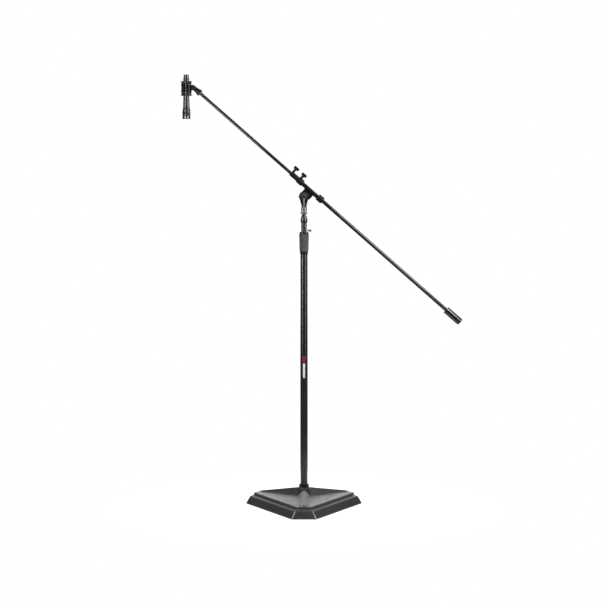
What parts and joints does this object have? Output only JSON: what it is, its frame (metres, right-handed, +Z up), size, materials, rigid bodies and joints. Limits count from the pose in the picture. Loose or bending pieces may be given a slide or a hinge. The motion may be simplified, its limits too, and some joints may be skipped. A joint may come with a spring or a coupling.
{
  "type": "boom microphone stand",
  "caption": "Boom microphone stand: cast foot, telescoping mast with twist clutch, tilting and sliding boom with counterweight, and a microphone in an elastic shock mount.",
  "frame": {"origin": "on the floor, on the mast's axis", "axes": "+Z up along the mast; +X horizontally along the boom towards its counterweight; +Y horizontally away from the side with the tilt lever"},
  "size_m": [1.0962, 0.3992, 1.698],
  "materials": {
    "cast_iron": "matte",
    "rubber": "matte",
    "grip_rubber": "matte",
    "black_tube": "satin",
    "black_gloss": "gloss",
    "black_casting": "satin",
    "black_plastic": "satin",
    "steel": "satin",
    "dark_steel": "satin",
    "nylon": "satin",
    "mic_metal": "satin",
    "mesh_metal": "satin"
  },
  "bodies": {
    "base": {"base_casting": "cast_iron", "base_pad": "rubber", "base_bolt": "steel", "base_washer": "steel", "mast_foot_plug": "dark_steel", "mast_lock_collar": "black_casting", "lower_tube": "black_tube", "clutch_body": "dark_steel", "clutch_collet": "nylon"},
    "clutch": {"clutch_grip": "grip_rubber", "clutch_cap": "black_gloss", "clutch_ring": "black_gloss"},
    "mast_slider": {"mast_glide": "nylon"},
    "upper_mast": {"upper_tube": "black_tube", "mast_ferrule": "black_gloss", "swivel_socket": "dark_steel", "socket_set_screw": "dark_steel", "swivel_yoke": "black_casting", "friction_washer_front": "nylon", "friction_washer_rear": "nylon", "tilt_nut": "steel"},
    "stop_screw": {"stop_screw_stud": "steel", "stop_screw_head": "dark_steel"},
    "tilt_clamp": {"tilt_bolt": "black_gloss", "tilt_lever": "dark_steel"},
    "cradle": {"boom_cradle": "black_casting"},
    "boom_lock": {"boom_lock_knob": "black_plastic", "boom_lock_screw": "steel"},
    "boom_liners": {"cradle_liner_mic_side": "nylon", "cradle_liner_weight_side": "nylon"},
    "boom": {"boom_tube": "black_tube", "boom_sleeve": "black_plastic", "counterweight": "black_gloss", "counterweight_set_screw": "dark_steel"},
    "extension_lock": {"extension_lock_knob": "black_plastic", "extension_lock_screw": "steel"},
    "extension_slider": {"extension_glide": "nylon"},
    "extension": {"extension_tube": "black_tube", "boom_tip_stud": "steel"},
    "mount_base": {"mount_lock_nut": "black_gloss", "mount_socket": "black_casting", "mount_nut": "steel"},
    "mount_knob": {"mount_bolt": "steel", "mount_thumb_knob": "black_plastic"},
    "shock_mount": {"mount_arm": "black_casting", "shock_cage": "black_plastic", "cage_screw": "steel", "elastic_top_a": "rubber", "elastic_top_b": "rubber", "elastic_bottom_a": "rubber", "elastic_bottom_b": "rubber"},
    "microphone": {"mic_body": "mic_metal", "mic_ring": "mic_metal", "mic_head": "mic_metal", "mic_mesh": "mesh_metal", "mic_capsule": "steel", "xlr_shell": "mic_metal", "xlr_insert": "black_plastic"}
  },
  "joints": [
    {"name": "clutch_twist", "type": "hinge", "parent": "base", "child": "clutch", "pos_m": [0, 0, 1.045], "axis": [0, 0, 1], "range_deg": [0, 120]},
    {"name": "mast_height", "type": "slide", "parent": "base", "child": "mast_slider", "axis": [0, 0, 1], "range_m": [0, 0.65]},
    {"name": "mast_turn", "type": "hinge", "parent": "mast_slider", "child": "upper_mast", "pos_m": [0, 0, 1], "axis": [0, 0, 1], "continuous": true},
    {"name": "stop_screw_turn", "type": "hinge", "parent": "upper_mast", "child": "stop_screw", "pos_m": [0, 0, 1.0953], "axis": [0.8192, -0.5736, 0], "range_deg": [0, 300]},
    {"name": "tilt_lever_turn", "type": "hinge", "parent": "upper_mast", "child": "tilt_clamp", "pos_m": [0, 0, 1.2284], "axis": [0, 1, 0], "range_deg": [-90, 90]},
    {"name": "boom_tilt", "type": "hinge", "parent": "upper_mast", "child": "cradle", "pos_m": [0, 0, 1.2284], "axis": [0, 1, 0], "range_deg": [-71, 33]},
    {"name": "boom_lock_turn", "type": "hinge", "parent": "cradle", "child": "boom_lock", "pos_m": [-0.01861, 0, 1.289], "axis": [0.6607, 0, 0.7507], "range_deg": [0, 300]},
    {"name": "boom_roll", "type": "hinge", "parent": "cradle", "child": "boom_liners", "pos_m": [0.02193, 0, 1.25332], "axis": [-0.7507, 0, 0.6607], "continuous": true},
    {"name": "boom_slide", "type": "slide", "parent": "boom_liners", "child": "boom", "axis": [-0.7507, 0, 0.6607], "range_m": [0, 0.6]},
    {"name": "extension_lock_turn", "type": "hinge", "parent": "boom", "child": "extension_lock", "pos_m": [-0.04788, 0, 1.31476], "axis": [0.6607, 0, 0.7507], "range_deg": [0, 300]},
    {"name": "extension_slide", "type": "slide", "parent": "boom", "child": "extension_slider", "axis": [-0.7507, 0, 0.6607], "range_m": [-0.34, 0]},
    {"name": "extension_roll", "type": "hinge", "parent": "extension_slider", "child": "extension", "pos_m": [-0.12821, 0, 1.38545], "axis": [-0.7507, 0, 0.6607], "continuous": true},
    {"name": "mount_turn", "type": "hinge", "parent": "extension", "child": "mount_base", "pos_m": [-0.40596, 0, 1.6299], "axis": [-0.7507, 0, 0.6607], "continuous": true},
    {"name": "mount_tilt", "type": "hinge", "parent": "mount_base", "child": "shock_mount", "pos_m": [-0.42098, 0, 1.64311], "axis": [0, 1, 0], "range_deg": [-50, 90]},
    {"name": "mount_knob_turn", "type": "hinge", "parent": "mount_base", "child": "mount_knob", "pos_m": [-0.42098, 0, 1.64311], "axis": [0, 1, 0], "range_deg": [0, 300]},
    {"name": "mic_slide", "type": "slide", "parent": "shock_mount", "child": "microphone", "axis": [0, 0, 1], "range_m": [-0.02, 0.015]}
  ]
}
